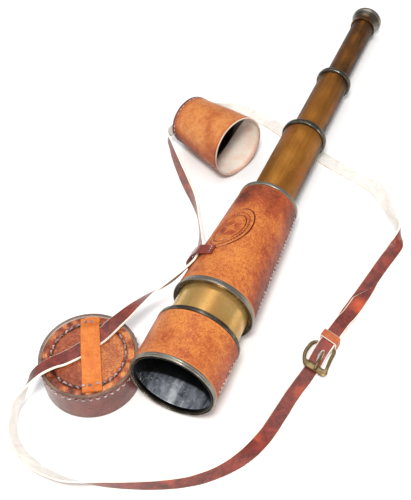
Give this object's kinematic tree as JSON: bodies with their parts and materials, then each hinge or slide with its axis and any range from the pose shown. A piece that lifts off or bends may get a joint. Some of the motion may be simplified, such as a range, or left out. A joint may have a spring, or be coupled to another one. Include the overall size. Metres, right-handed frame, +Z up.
{
  "type": "hand-held draw telescope",
  "caption": "hand-held brass draw telescope with leather-covered barrel and sunshade, fully extended, with leather end caps threaded on a buckled carrying strap",
  "frame": {"origin": "middle of the footprint of the telescope and its caps, on the surface it lies on, the strap and what is on it left out", "axes": "+Y runs along the telescope from the objective end to the eye, +X to its right seen from the objective end, +Z up; the telescope leans down by 2.6 degrees towards the eye, because it rests on its flange and its eyecup"},
  "size_m": [0.2071, 0.5008, 0.0625],
  "materials": {
    "sheath_leather": "mottled orange-brown saddle leather, waxed",
    "cap_leather": "dark red-brown glazed leather",
    "band_leather": "light orange raw leather",
    "strap_leather": "dark red-brown glazed strap leather with cream suede underside",
    "aged_brass": "aged olive-golden brass with lengthwise streaks",
    "dark_pewter": "darkened pewter-coloured metal, satin",
    "bare_metal": "bare streaky metal",
    "buckle_brass": "antique brass",
    "lens_glass": "clear polished glass"
  },
  "bodies": {
    "barrel": {"barrel_tube": "aged_brass", "barrel_sheath": "sheath_leather", "barrel_flange": "dark_pewter", "barrel_collar": "dark_pewter", "barrel_bush": "aged_brass", "strap_loop": "cap_leather", "objective_tube": "aged_brass", "objective_cell": "dark_pewter", "objective_crown_lens": "lens_glass", "objective_flint_lens": "lens_glass", "objective_retaining_ring": "dark_pewter", "carry_strap": "strap_leather", "strap_chape": "strap_leather", "strap_keeper": "band_leather"},
    "sunshade": {"sunshade_bezel": "dark_pewter", "sunshade_tube": "bare_metal", "sunshade_sheath": "sheath_leather", "sunshade_ring": "dark_pewter"},
    "draw_1": {"draw_stop_1": "aged_brass", "draw_tube_1": "aged_brass", "draw_ring_1": "dark_pewter"},
    "draw_2": {"draw_stop_2": "aged_brass", "draw_tube_2": "aged_brass", "draw_ring_2": "dark_pewter"},
    "draw_3": {"draw_stop_3": "aged_brass", "draw_tube_3": "aged_brass", "erector_cell": "aged_brass", "erector_lens_front": "lens_glass", "erector_lens_back": "lens_glass", "aperture_stop": "dark_pewter", "eyepiece_cell": "aged_brass", "field_lens": "lens_glass", "eye_lens": "lens_glass", "eyecup": "dark_pewter"},
    "objective_cap": {"objective_cap_wall": "cap_leather", "objective_cap_disc": "cap_leather", "objective_cap_band": "band_leather"},
    "eye_cap": {"eye_cap_wall": "sheath_leather", "eye_cap_disc": "cap_leather", "eye_cap_band": "band_leather"},
    "buckle_frame": {"buckle_frame": "buckle_brass"},
    "buckle_prong": {"buckle_prong": "buckle_brass"}
  },
  "joints": [
    {"name": "sunshade_slide", "type": "slide", "parent": "barrel", "child": "sunshade", "axis": [0, 0.999, -0.0455], "range_m": [0, 0.0225]},
    {"name": "draw_1_slide", "type": "slide", "parent": "barrel", "child": "draw_1", "axis": [0, -0.999, 0.0455], "range_m": [0, 0.076]},
    {"name": "draw_2_slide", "type": "slide", "parent": "draw_1", "child": "draw_2", "axis": [0, -0.999, 0.0455], "range_m": [0, 0.0695]},
    {"name": "draw_3_slide", "type": "slide", "parent": "draw_2", "child": "draw_3", "axis": [0, -0.999, 0.0455], "range_m": [0, 0.079]},
    {"name": "objective_cap_slide", "type": "slide", "parent": "barrel", "child": "objective_cap", "axis": [-0.45, -0.893, 0], "range_m": [0, 0.004]},
    {"name": "eye_cap_slide", "type": "slide", "parent": "barrel", "child": "eye_cap", "axis": [0.3891, 0.9212, 0], "range_m": [0, 0.006]},
    {"name": "buckle_frame_hinge", "type": "hinge", "parent": "barrel", "child": "buckle_frame", "pos_m": [0.11258, -0.11622, 0.0035], "axis": [-0.9799, 0.1994, 0], "range_deg": [0, 3]},
    {"name": "buckle_prong_hinge", "type": "hinge", "parent": "buckle_frame", "child": "buckle_prong", "pos_m": [0.11258, -0.11622, 0.0035], "axis": [-0.9799, 0.1994, 0], "range_deg": [0, 2]}
  ]
}
